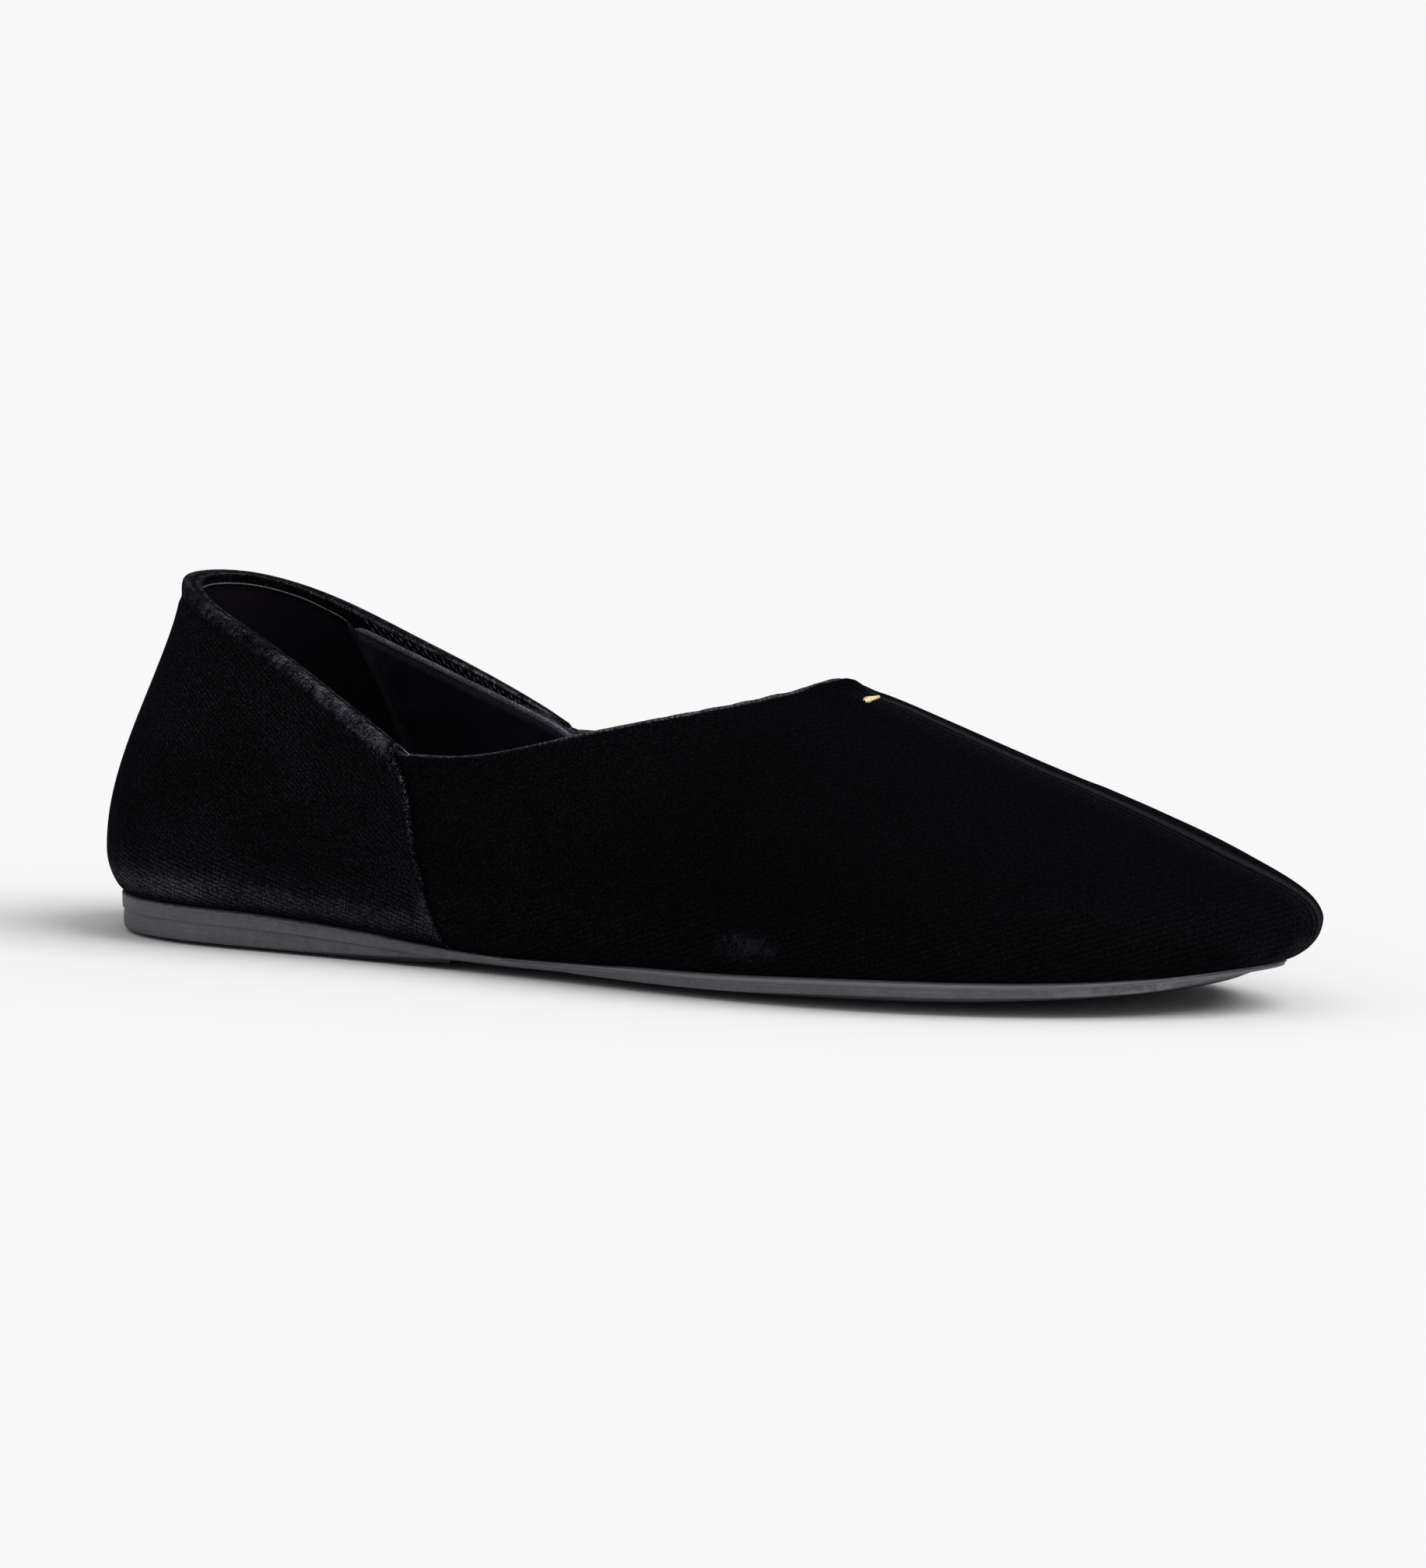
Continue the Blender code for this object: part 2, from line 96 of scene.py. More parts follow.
# %% Wires for shader sums
class Wire:
    """One output of a node. Sums on wires add Math nodes, and node() adds any other node."""

    def __init__(self, tree, socket=None):
        self.tree = tree
        self.socket = socket

    def node(self, kind, settings=None, inputs=None, output=0):
        """Adds a node: settings first, then the values or wires of its sockets. Returns one output."""
        made = self.tree.nodes.new(kind)
        for key, value in (settings or {}).items():
            setattr(made, key, value)
        for key, value in (inputs or {}).items():
            if isinstance(value, Wire):
                self.tree.links.new(value.socket, made.inputs[key])
            else:
                made.inputs[key].default_value = value
        return Wire(self.tree, made.outputs[output])

    def sum(self, operation, *others):
        """This wire and others, put together by one Math node."""
        return self.node("ShaderNodeMath", {"operation": operation}, dict(enumerate((self, *others))))

    def __add__(self, other):
        return self.sum("ADD", other)

    def __sub__(self, other):
        return self.sum("SUBTRACT", other)

    def __mul__(self, other):
        return self.sum("MULTIPLY", other)

    def __truediv__(self, other):
        return self.sum("DIVIDE", other)

    def __rsub__(self, other):
        return self.node("ShaderNodeMath", {"operation": "SUBTRACT"}, {0: other, 1: self})

    __radd__ = __add__

    def rise(self, start, end):
        """0 below start, 1 above end, smooth between."""
        return self.node("ShaderNodeMapRange", {"interpolation_type": "SMOOTHSTEP"},
                         {"Value": self, "From Min": start, "From Max": end})

    def fall(self, start, end):
        """1 below start, 0 above end, smooth between."""
        return 1 - self.rise(start, end)

    def between(self, start, full, last, end):
        """Rises from start to full and falls again from last to end."""
        return self.rise(start, full) * self.fall(last, end)

    def near(self, centre, reach):
        """1 at the centre, 0 at a distance of reach, smooth between."""
        return ((self - centre) / reach).sum("ABSOLUTE").fall(0.0, 1.0)

    def wave(self, length):
        """A smooth wave from 0 to 1 that repeats every length."""
        return (self * (2 * math.pi / length)).sum("SINE") * 0.5 + 0.5

    def shade(self, dark, light):
        """A colour from dark at 0 to light at 1."""
        return self.node("ShaderNodeMix", {"data_type": "RGBA"}, {0: self, 6: dark, 7: light}, 2)

    def noise(self, place, scale, detail=2.0, roughness=0.5):
        """Soft noise from 0 to 1 on a place wire."""
        return self.node("ShaderNodeTexNoise", None,
                         {"Vector": place, "Scale": scale, "Detail": detail, "Roughness": roughness})

    def stretch(self, place, scale, turn):
        """The place wire, turned and then scaled along each axis."""
        turned = self.node("ShaderNodeMapping", {"vector_type": "TEXTURE"},
                           {"Vector": place, "Rotation": turn})
        return self.node("ShaderNodeVectorMath", {"operation": "MULTIPLY"}, {0: turned, 1: scale})

    def axis(self, place, name):
        """One axis of a place wire, in millimetres."""
        return self.node("ShaderNodeSeparateXYZ", None, {0: place}, name) * (1.0 / MM)

    def kept(self, name):
        """A number kept on the mesh's points."""
        return self.node("ShaderNodeAttribute", {"attribute_name": name}, None, "Fac")

    def bump(self, height, distance, strength):
        """A normal roughened by a height wire."""
        return self.node("ShaderNodeBump", None,
                         {"Height": height, "Distance": distance, "Strength": strength})


def new_finish(name):
    """A material with an empty wire to draw from, its shader, and the place in the shoe's own metres."""
    finish = bpy.data.materials.new(name)
    finish.use_nodes = True
    wire = Wire(finish.node_tree)
    shader = finish.node_tree.nodes["Principled BSDF"]
    place = wire.node("ShaderNodeTexCoord", None, None, "Object")
    return finish, wire, shader, place


def set_shader(shader, **sockets):
    """Links wires to the shader's sockets, and sets plain values on them."""
    for key, value in sockets.items():
        socket = shader.inputs[key.replace("_", " ")]
        if isinstance(value, Wire):
            value.tree.links.new(value.socket, socket)
        else:
            socket.default_value = value


PLAIN = (1.0, 1.0, 1.0)
VELVET = (1.0, 0.99, 1.25)
LINING = (1.12, 0.90, 1.32)
LEATHER = (1.0, 0.98, 1.10)


def tone(level, tint=PLAIN):
    """A shade of so much light, tinted by how much red, green and blue it holds."""
    return (level * tint[0], level * tint[1], level * tint[2], 1.0)


print("wires ready")

# %% [markdown]
# The shoe stands in a white studio: a pale floor that runs on into a white wall, a wide soft light
# from above, and one softer lamp from the right that throws a faint shadow behind the heel. The wall
# is drawn by the world, so the floor's shade is tuned to meet it without a line.

# %% Floor
FLOOR_SIZE = 40.0
FLOOR_DROP = 0.02 * MM

bpy.ops.object.select_all(action="DESELECT")
bpy.ops.mesh.primitive_plane_add(size=FLOOR_SIZE, location=(0.0, 0.0, -FLOOR_DROP))
floor = bpy.context.object
floor.name = "studio_floor"
bpy.ops.object.transform_apply(location=True, rotation=True, scale=True)
floor_finish, wire, shader, place = new_finish("matt_floor")
cloudy = wire.noise(place, 3.0)
set_shader(shader, Base_Color=cloudy.shade(tone(0.80), tone(0.806)),
           Roughness=1.0, Specular_IOR_Level=0.0)
floor.data.materials.append(floor_finish)
print("floor", floor.dimensions[:])

# %% Light
WALL = 0.939
FROM_ABOVE, FROM_FRONT, ALL_ROUND = 0.46, 0.40, 0.155
LAMP_ENERGY = 2.25
LAMP_ANGLE = math.radians(42.0)

world = bpy.data.worlds.new("white_studio")
bpy.context.scene.world = world
world.use_nodes = True
wire = Wire(world.node_tree)
world.node_tree.nodes.clear()
facing = wire.node("ShaderNodeTexCoord", None, None, "Generated")
height = wire.node("ShaderNodeSeparateXYZ", None, {0: facing}, "Z")
front = wire.node("ShaderNodeVectorMath", {"operation": "DOT_PRODUCT"},
                  {0: facing, 1: (to_camera + camera_right * 0.3).normalized()}, "Value")
glow = height.rise(0.0, 0.9) * FROM_ABOVE + front.rise(-0.2, 0.9) * FROM_FRONT + ALL_ROUND
lit = wire.node("ShaderNodeBackground", None,
                {"Color": glow.shade(tone(0.0), tone(1.0)), "Strength": 1.0})
wall = wire.node("ShaderNodeBackground", None, {"Color": tone(1.0), "Strength": WALL})
seen = wire.node("ShaderNodeLightPath", None, None, "Is Camera Ray")
both = wire.node("ShaderNodeMixShader", None, {0: seen, 1: lit, 2: wall})
world_out = world.node_tree.nodes.new("ShaderNodeOutputWorld")
world.node_tree.links.new(both.socket, world_out.inputs["Surface"])

lamp_from = (camera_right * 0.62 + to_camera * 0.30 + Vector((0.0, 0.0, 0.76))).normalized()
bpy.ops.object.light_add(type="SUN", location=lamp_from * 2.0)
lamp = bpy.context.object
lamp.rotation_mode = "QUATERNION"
lamp.rotation_quaternion = lamp_from.to_track_quat("Z", "Y")
lamp.data.angle = LAMP_ANGLE
lamp.data.energy = LAMP_ENERGY
bpy.context.scene.view_settings.view_transform = "Standard"
print("lamp from", [round(v, 2) for v in lamp_from])

# %% [markdown]
# ## The upper
# The upper is velvet over a thin padding, lasted round the foot: there is no flat spot on it. The solid
# has that form in straight facets, so a copy of it is merged, its triangles are paired into four-sided
# faces, and a subdivision surface rounds it. The lower rim is creased first, because a subdivision
# would otherwise pull it away from the sole.

# %% Start from a solid
def select_only(piece):
    bpy.ops.object.select_all(action="DESELECT")
    piece.select_set(True)
    bpy.context.view_layer.objects.active = piece


def edit_with_none(piece, kind):
    """Opens a piece for editing by points or edges, with none of them selected."""
    select_only(piece)
    bpy.ops.object.mode_set(mode="EDIT")
    bpy.ops.mesh.select_mode(type=kind)
    bpy.ops.mesh.select_all(action="DESELECT")


def edit_points(piece, chosen):
    """Opens a piece for editing with the chosen points selected."""
    edit_with_none(piece, "VERT")
    bpy.ops.object.mode_set(mode="OBJECT")
    piece.data.vertices.foreach_set("select", chosen)
    bpy.ops.object.mode_set(mode="EDIT")


def new_piece(name, mesh):
    """A piece of the scene with this mesh, selected."""
    piece = bpy.data.objects.new(name, mesh)
    bpy.context.scene.collection.objects.link(piece)
    select_only(piece)
    return piece


def start_from_solid(node, name):
    """A new piece that starts as a merged copy of one solid, in four-sided faces where they pair up."""
    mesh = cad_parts[node].data.copy()
    mesh.materials.clear()
    mesh.name = name
    piece = new_piece(name, mesh)
    bpy.ops.mesh.customdata_custom_splitnormals_clear()
    bpy.ops.object.mode_set(mode="EDIT")
    bpy.ops.mesh.select_all(action="SELECT")
    bpy.ops.mesh.remove_doubles(threshold=0.01 * MM)
    bpy.ops.mesh.tris_convert_to_quads(face_threshold=math.radians(70),
                                       shape_threshold=math.radians(80), topology_influence=1.0)
    bpy.ops.object.mode_set(mode="OBJECT")
    sides = np.bincount([len(face.vertices) for face in mesh.polygons], minlength=5)
    print(name, "starts with", sides[4], "four-sided faces and", sides[3], "triangles")
    return piece


def read_points(piece, what):
    flat = np.empty(len(piece.data.vertices) * 3, np.float32)
    piece.data.vertices.foreach_get(what, flat)
    return flat.reshape(-1, 3).astype(float)


def points_of(piece):
    """The places of a piece's points, in millimetres."""
    return read_points(piece, "co") / MM


def normals_of(piece):
    """The way each point of a piece faces."""
    return read_points(piece, "normal")


def move_points(piece, points):
    """Puts a piece's points at new places, given in millimetres."""
    piece.data.vertices.foreach_set("co", (points * MM).astype(np.float32).ravel())
    piece.data.update()


upper = start_from_solid("upper", "velvet_upper")

# %% [markdown]
# The collar's crest is the top line of the rolled edge. Many measures start from it, so it is found
# first: the highest edge that runs across the shoe lies on it at the heel, and a loop selection follows
# it all round.

# %% Find the collar's crest
points = points_of(upper)
ends = np.array([edge.vertices[:] for edge in upper.data.edges])
along = points[ends[:, 1]] - points[ends[:, 0]]
across = abs(along[:, 1]) > 0.8 * np.linalg.norm(along, axis=1)
heights = np.where(across, points[ends][:, :, 2].mean(1), 0.0)
edit_with_none(upper, "EDGE")
bpy.ops.object.mode_set(mode="OBJECT")
upper.data.edges[int(heights.argmax())].select = True
bpy.ops.object.mode_set(mode="EDIT")
bpy.ops.mesh.loop_multi_select(ring=False)
bpy.ops.object.mode_set(mode="OBJECT")
loop_edges = [edge.vertices[:] for edge in upper.data.edges if edge.select]


def in_order(pairs):
    """The corners of one closed loop of edges, in order."""
    beside = {}
    for a, b in pairs:
        beside.setdefault(a, []).append(b)
        beside.setdefault(b, []).append(a)
    first = pairs[0][0]
    order = [first]
    last, here = None, first
    while True:
        step = [corner for corner in beside[here] if corner != last]
        last, here = here, step[0]
        if here == first:
            return order
        order.append(here)


crest = points[in_order(loop_edges)]
girth = np.linalg.norm(np.roll(crest, -1, 0) - crest, axis=1).sum()
print("collar crest:", len(crest), "corners,", round(float(girth), 1), "mm round")

# %% Crease the lower rim
def crease_edges(piece, sharper_than, weight):
    """Creases every edge that bends by more than so many degrees, so that rounding leaves it crisp."""
    edit_with_none(piece, "EDGE")
    bpy.ops.mesh.edges_select_sharp(sharpness=math.radians(sharper_than))
    bpy.ops.transform.edge_crease(value=weight)
    bpy.ops.object.mode_set(mode="OBJECT")
    print(piece.name, "keeps", sum(edge.select for edge in piece.data.edges), "crisp edges")


crease_edges(upper, 62.0, 0.9)

# %% [markdown]
# A subdivision surface pulls every corner inwards, which would make the shoe a little smaller than its
# solid. So the corners are first pushed out by as much as they would sink. After three rounds of that
# the rounded surface runs through the solid's own corners.

# %% Round the upper
def round_off(piece, levels, rounds=3):
    """A subdivision surface, applied. Rounds of pushing out bring it through the piece's own corners."""
    select_only(piece)
    bpy.ops.object.modifier_add(type="SUBSURF")
    modifier = piece.modifiers[-1]
    modifier.levels = levels
    modifier.render_levels = levels
    corners = points_of(piece)
    sunk = np.zeros(1)
    for _ in range(rounds):
        bpy.context.view_layer.update()
        rounded = piece.evaluated_get(bpy.context.evaluated_depsgraph_get())
        sunk = corners - points_of(rounded)[:len(corners)]
        move_points(piece, points_of(piece) + sunk)
    if rounds:
        print(piece.name, "corners within", round(float(abs(sunk).max()), 3), "mm of the solid")
    bpy.ops.object.modifier_apply(modifier=modifier.name)
    print(piece.name, "has", len(piece.data.polygons), "faces after rounding")


round_off(upper, 2)

# %% [markdown]
# Velvet has no sharp peak at the throat. The whole arch of the vamp, and then the points round the tip
# behind it, are smoothed a few times over, which spreads the bend without moving the outline much.

# %% Soften the throat
def smooth_where(piece, chosen, times):
    """Smooths the chosen points a number of times."""
    edit_points(piece, chosen)
    bpy.ops.mesh.vertices_smooth(factor=0.5, repeat=times)
    bpy.ops.object.mode_set(mode="OBJECT")
    print("smoothed", int(chosen.sum()), "points", times, "times")


TIP_REACH = 6.5
TIP_AHEAD = (1.5, 0.0, 0.0)

tip = crest[np.argmax(crest[:, 0])]
points, outward = points_of(upper), normals_of(upper)
x, z = points[:, 0], points[:, 2]
off_edge = np.min(np.linalg.norm(points[:, None, :] - crest[None, :, :], axis=2), axis=1)
arch = (x > 6.0) & (x < 78.0) & (z > 30.0) & (outward[:, 2] > 0.1) & (off_edge > 2.0)
smooth_where(upper, arch, 30)
smooth_where(upper, np.linalg.norm(points_of(upper) - tip - TIP_AHEAD, axis=1) < TIP_REACH, 10)

# %% [markdown]
# The two halves of the vamp meet in a seam that runs from the throat over the toe, with a row of
# stitching close on each side. The grooves are less than a millimetre wide, finer than the faces, so
# the strip along the seam is first cut by parallel planes. Only then is there enough mesh to press in.

# %% Cut the strip along the centre seam
SEAM_X = (31.0, 50.0, 90.0, 112.5, 130.0)
SEAM_Y = (3.61, 3.80, 3.70, 3.41, 3.41)
STRIP_Y = 3.6
STRIP_HALF = 4.5
CUTS = (-2.0, -1.45, -1.1, -0.85, -0.6, -0.3, 0.3, 0.6, 0.85, 1.1, 1.45, 2.0)

for offset in CUTS:
    (x, y, z), outward = points_of(upper).T, normals_of(upper)
    near = (x > SEAM_X[0]) & (abs(y - STRIP_Y) < STRIP_HALF)
    near &= (outward[:, 2] > 0.2) | (outward[:, 0] > 0.3)
    near &= (z > 24.0) | (x > 113.0)
    edit_points(upper, near)
    bpy.ops.mesh.select_mode(type="FACE")
    bpy.ops.mesh.bisect(plane_co=(0.0, (STRIP_Y + offset) * MM, 0.0), plane_no=(0.0, 1.0, 0.0))
    bpy.ops.object.mode_set(mode="OBJECT")
print("upper has", len(upper.data.polygons), "faces after", len(CUTS), "cuts")

# %% [markdown]
# Every crease and every patch of nap below is placed by a few measures that a maker would use: how far
# a spot lies below the collar's crest, how far above the sole, how far before or behind a seam, and
# whether it is inside the shoe. They are worked out once for each point of the mesh, in millimetres.

# %% Measure the upper
SEAM_FOOT_Z = (4.0, 5.5, 9.6, 17.1, 21.1, 28.8, 34.6, 40.0)
SEAM_FOOT_X = (-31.5, -33.1, -34.5, -36.7, -38.5, -41.2, -43.6, -46.6)
SOLE_X = (-126.0, -105.0, -79.0, -52.0, -32.0, -19.5, -7.0, 14.0, 35.0, 54.0, 74.0, 92.5, 109.8, 121.5)
SOLE_Z = (7.8, 7.7, 7.3, 5.6, 4.1, 3.7, 3.9, 4.5, 5.0, 5.7, 6.1, 6.4, 7.4, 8.8)
HEEL_ROUND = 28.0
HEEL_CENTRE = -95.0
MIDDLE_Y = 1.6


def along_crest(step=0.5):
    """Points every step millimetres along the collar's crest, from the heel round the outer side."""
    first = int(np.argmin(crest[:, 0] + abs(crest[:, 1] + 1.0)))
    loop = np.roll(crest, -first, 0)
    if loop[5, 1] > loop[-5, 1]:
        loop = np.roll(loop[::-1], 1, 0)
    loop = np.vstack((loop, loop[:1]))
    runs = np.concatenate(([0.0], np.cumsum(np.linalg.norm(np.diff(loop, axis=0), axis=1))))
    evenly = np.arange(0.0, runs[-1], step)
    return evenly, np.column_stack([np.interp(evenly, runs, loop[:, axis]) for axis in range(3)])


crest_runs, crest_points = along_crest()
crest_tree = KDTree(len(crest_points))
for place, spot in enumerate(crest_points):
    crest_tree.insert(Vector(spot), place)
crest_tree.balance()


def measure(points, outward):
    """Named measures of each point, in millimetres."""
    x, y, z = points.T
    nearest = [crest_tree.find(Vector(spot)) for spot in points]
    picked = np.array([found[1] for found in nearest])
    ahead = np.roll(crest_points, -1, 0) - np.roll(crest_points, 1, 0)
    ahead = (ahead / np.linalg.norm(ahead, axis=1, keepdims=True))[picked]
    beyond = np.clip(((points - crest_points[picked]) * ahead).sum(1), -0.3, 0.3)
    middle = np.column_stack((
        np.clip(x, HEEL_CENTRE, 100.0),
        np.interp(x, (-100.0, 0.0, 60.0, 100.0), (MIDDLE_Y, MIDDLE_Y, 3.0, 3.5)),
        np.interp(x, (-100.0, -45.0, 0.0, 60.0, 100.0), (25.0, 18.0, 18.0, 16.0, 14.0))))
    turn = np.arctan2(abs(y - MIDDLE_Y), HEEL_CENTRE - x)
    side = np.where(x < HEEL_CENTRE, HEEL_ROUND * turn, HEEL_ROUND * math.pi / 2 + x - HEEL_CENTRE)
    return {
        "inside": ((middle - points) * outward).sum(1) > 0.0,
        "crest_depth": np.array([found[2] for found in nearest]),
        "crest_run": crest_runs[picked] + beyond,
        "sole_rise": z - np.interp(x, SOLE_X, SOLE_Z),
        "side_gap": x - np.interp(z, SEAM_FOOT_Z, SEAM_FOOT_X),
        "seam_gap": y - np.interp(x, SEAM_X, SEAM_Y),
        "ring_run": np.where(y < MIDDLE_Y, -side, side),
    }


sizes = measure(points_of(upper), normals_of(upper))
print("deepest spot below the crest", round(float(sizes["crest_depth"].max()), 1), "mm")
print("inside share", round(float(sizes["inside"].mean()), 2))

# %% [markdown]
# Now the creases. A crease in soft cloth is never a sharp cut: it is a trough with a soft edge, or a
# ridge where the cloth is pushed together. Each is a bell curve across a line, so it fades out by
# itself. The line comes from the measures, or is drawn from one spot to another.

# %% Press in seams and creases
def bell(distance, width):
    return np.exp(-(distance / width) ** 2)


def ramp(value, start, end):
    """0 before start, 1 after end, smooth between."""
    share = np.clip((value - start) / (end - start), 0.0, 1.0)
    return share * share * (3.0 - 2.0 * share)


def drawn_line(points, start, end, width):
    """A soft line from one spot to another: 1 on it, fading at its sides and ends."""
    start, end = np.array(start, float), np.array(end, float)
    run = end - start
    share = np.clip(((points - start) @ run) / (run @ run), 0.0, 1.0)
    gap = np.linalg.norm(points - start - share[:, None] * run, axis=1)
    return bell(gap, width) * ramp(share, -0.01, 0.3) * (1.0 - ramp(share, 0.7, 1.01))


HAND_CREASES = (
    ("soft bend of the throat", (29.0, -4.0, 54.0), (33.5, 9.0, 54.0), 4.0, 1.25),
    ("dent at the ball", (32.0, -41.0, 11.5), (46.0, -41.0, 8.5), 2.4, -0.45),
    ("pull from the notch", (-37.0, -29.0, 34.0), (-8.0, -34.0, 27.0), 3.2, -0.30),
    ("ridge under the pull", (-35.0, -31.0, 27.0), (-10.0, -35.0, 20.0), 3.2, 0.22),
    ("bend of the vamp, outer", (52.0, -41.0, 12.0), (58.0, -20.0, 36.0), 4.0, -0.16),
    ("bend of the vamp, inner", (54.0, 39.0, 12.0), (58.0, 26.0, 35.0), 4.0, -0.16),
    ("hollow of the quarter", (-96.0, -27.0, 46.0), (-62.0, -30.0, 28.0), 6.0, -0.25),
    ("hollow of the inner quarter", (-96.0, 28.0, 46.0), (-62.0, 31.0, 28.0), 6.0, -0.25),
    ("crease by the heel seat", (-108.0, -24.0, 16.0), (-70.0, -32.0, 14.0), 3.0, -0.18),
    ("pull from the inner notch", (-37.0, 31.0, 34.0), (-8.0, 35.0, 27.0), 3.2, -0.30),
)

# The edge of the throat is raised or lowered by a little, along a slanting run from heel to toe.
THROAT_SLANT = (0.84, 0.545)
THROAT_RUN = (-22.0, 0.0, 9.0, 14.0, 20.0, 25.0, 26.6, 28.5, 30.5, 32.8, 35.0, 38.0, 46.0, 54.0)
THROAT_LIFT = (0.0, -0.60, -0.80, -0.66, -0.50, -0.68, -0.50, 0.22, 0.20, 0.0, -0.45, -0.40, -0.20, 0.0)

LINING_Z = (13.0, 20.0, 37.0, 45.0, 53.0, 58.0)
LINING_X = (-81.5, -82.5, -85.3, -87.3, -90.2, -92.1)


def past_lining_seam(x, z):
    """How far toward the toe points lie from the upright seam between heel lining and front lining."""
    return x - np.interp(z, LINING_Z[1:], LINING_X[1:])


def press_in(points, outward, sizes):
    """The points moved along their normals into seams, rolls and creases."""
    x, y, z = points.T
    out = ~sizes["inside"]
    depth, rise = sizes["crest_depth"], sizes["sole_rise"]
    behind = 1.0 - ramp(sizes["side_gap"], -5.0, -1.0)
    ahead = ramp(sizes["side_gap"], 2.0, 8.0)
    move = np.zeros(len(points))
    # the padded roll of the quarter's collar and the thinner one of the vamp's edge
    roll = 0.24 * bell(depth - 1.7, 1.1) - 0.34 * bell(depth - 3.7, 0.8)
    thin_roll = 0.10 * bell(depth - 0.9, 0.7) - 0.18 * bell(depth - 2.6, 0.7)
    move += out * (roll * behind + thin_roll * ahead)
    # the side seam: a fold behind it and a trough before it
    side = sizes["side_gap"]
    fold = 0.30 * bell(side + 1.3, 0.9) - 0.45 * bell(side - 0.6, 0.7)
    move += out * fold * (x < -25.0) * (rise < 35.0)
    # the centre seam: a fine ridge with a groove on each side
    gap = sizes["seam_gap"]
    on_top = out * ramp(x, 34.0, 37.0) * ((z > 24.0) | (x > 112.0)) * (abs(gap) < 6.0)
    move += on_top * (0.10 * bell(gap, 0.35) + 0.14 * bell(abs(gap) - 2.0, 0.9))
    move -= on_top * 0.40 * (bell(gap - 0.75, 0.26) + bell(gap + 0.75, 0.26))
    for _, start, end, width, height in HAND_CREASES:
        move += out * height * drawn_line(points, start, end, width)
    # small pleats where the velvet is lasted round heel and toe
    ring = sizes["ring_run"]
    pleats = 0.5 + 0.5 * np.sin(ring * 2 * math.pi / 5.6 + np.sin(ring / 7.0))
    ends_only = ramp(abs(x + 8.0), 70.0, 105.0)
    move -= out * 0.09 * pleats * ends_only * bell(rise - 2.5, 2.2)
    # the upright seam of the lining
    lining_ridge = 0.30 * bell(past_lining_seam(x, z), 0.9)
    move += sizes["inside"] * lining_ridge * (z > 14.0) * (x < -60.0)
    moved = points + outward * move[:, None]
    throat_run = THROAT_SLANT[0] * x + THROAT_SLANT[1] * y
    lift = np.interp(throat_run, THROAT_RUN, THROAT_LIFT) * (1.0 - ramp(depth, 6.0, 16.0))
    front_edge = 0.5 * bell(depth, 3.2) * ramp(x, -8.0, 14.0)
    moved[:, 2] += lift * ramp(x, -25.0, 0.0) - front_edge
    return moved, float(move.min()), float(move.max())


pressed, deepest, proudest = press_in(points_of(upper), normals_of(upper), sizes)
move_points(upper, pressed)
select_only(upper)
bpy.ops.object.shade_smooth()
print("creases reach from", round(deepest, 2), "to", round(proudest, 2), "mm")

# %% [markdown]
# The finish of the velvet needs the same measures that placed the creases. They are taken again from
# the pressed mesh and kept on its points as attributes, which a material can read. Painting by measures
# needs no picture, and every patch stays in its place when the shoe is turned.

# %% Keep the measures on the mesh
def keep(piece, name, values):
    """Stores one number for each point, for the finish to read."""
    if name not in piece.data.attributes:
        piece.data.attributes.new(name, "FLOAT", "POINT")
    piece.data.attributes[name].data.foreach_set("value", np.asarray(values, np.float32))


sizes = measure(points_of(upper), normals_of(upper))
BAND_X = (-115.0, -100.0, -92.0, -76.0, -67.0, -58.0, -50.0, -44.0, 40.0)
BAND = (2.9, 2.9, 3.9, 3.5, 3.3, 2.5, 1.7, 1.6, 1.8)
x, _, z = points_of(upper).T
band_gap = sizes["crest_depth"] - np.interp(x, BAND_X, BAND)
lining_gap = past_lining_seam(x, z)
keep(upper, "lining", sizes["inside"] * ramp(band_gap, -0.3, 0.5))
keep(upper, "band_gap", band_gap)
keep(upper, "lining_gap", lining_gap)
keep(upper, "heel_lining", 1.0 - ramp(lining_gap, -0.6, 0.6))
keep(upper, "inside", sizes["inside"].astype(float))
for name in ("crest_depth", "crest_run", "sole_rise", "side_gap", "seam_gap", "ring_run"):
    keep(upper, name, sizes[name])
print("kept on the mesh:", [a.name for a in upper.data.attributes if a.domain == "POINT"])

# %% [markdown]
# Velvet is black because light that falls between its standing fibres never comes out. It shines only
# where the fibres are seen from the side, at the edges of the form, and where the nap was crushed: on
# the rolled collar, along seams and just above the sole. So the base is nearly black and a sheen makes
# the edges glow. The shine of the collar, the seams, the sole line, the ball, the toe and the heel is
# painted into the base colour as lighter speckled patches: partly crushed nap, partly painted highlight.
# Ribs and uneven nap are the cloth's own.

# %% Velvet
velvet, wire, shader, place = new_finish("black_velvet")
depth = wire.kept("crest_depth")
rise = wire.kept("sole_rise")
side = wire.kept("side_gap")
gap = wire.kept("seam_gap")
ring = wire.kept("ring_run").sum("ABSOLUTE")
run = wire.kept("crest_run")
outer = 1 - wire.kept("inside")
where, across, up = (wire.axis(place, name) for name in "XYZ")

pile = wire.noise(place, 5200.0, 1.0) * 0.5 + wire.noise(place, 2700.0, 2.0, 0.6) * 0.5
speckle = pile.rise(0.40, 0.62)
spark = pile.rise(0.49, 0.64)
glint = pile.rise(0.52, 0.66)
clumps = wire.noise(place, 900.0, 2.0, 0.5).rise(0.35, 0.7)
tufts = wire.noise(place, 380.0, 3.0, 0.6).rise(0.38, 0.66)
patchy = wire.noise(place, 150.0, 3.0, 0.6).rise(0.3, 0.7)
cloudy = wire.noise(place, 45.0, 2.0).rise(0.3, 0.7)
quarter = side.fall(-0.8, 0.2) * outer
vamp = side.rise(-0.2, 0.8) * outer
print("grain of the pile:", len(velvet.node_tree.nodes), "nodes")

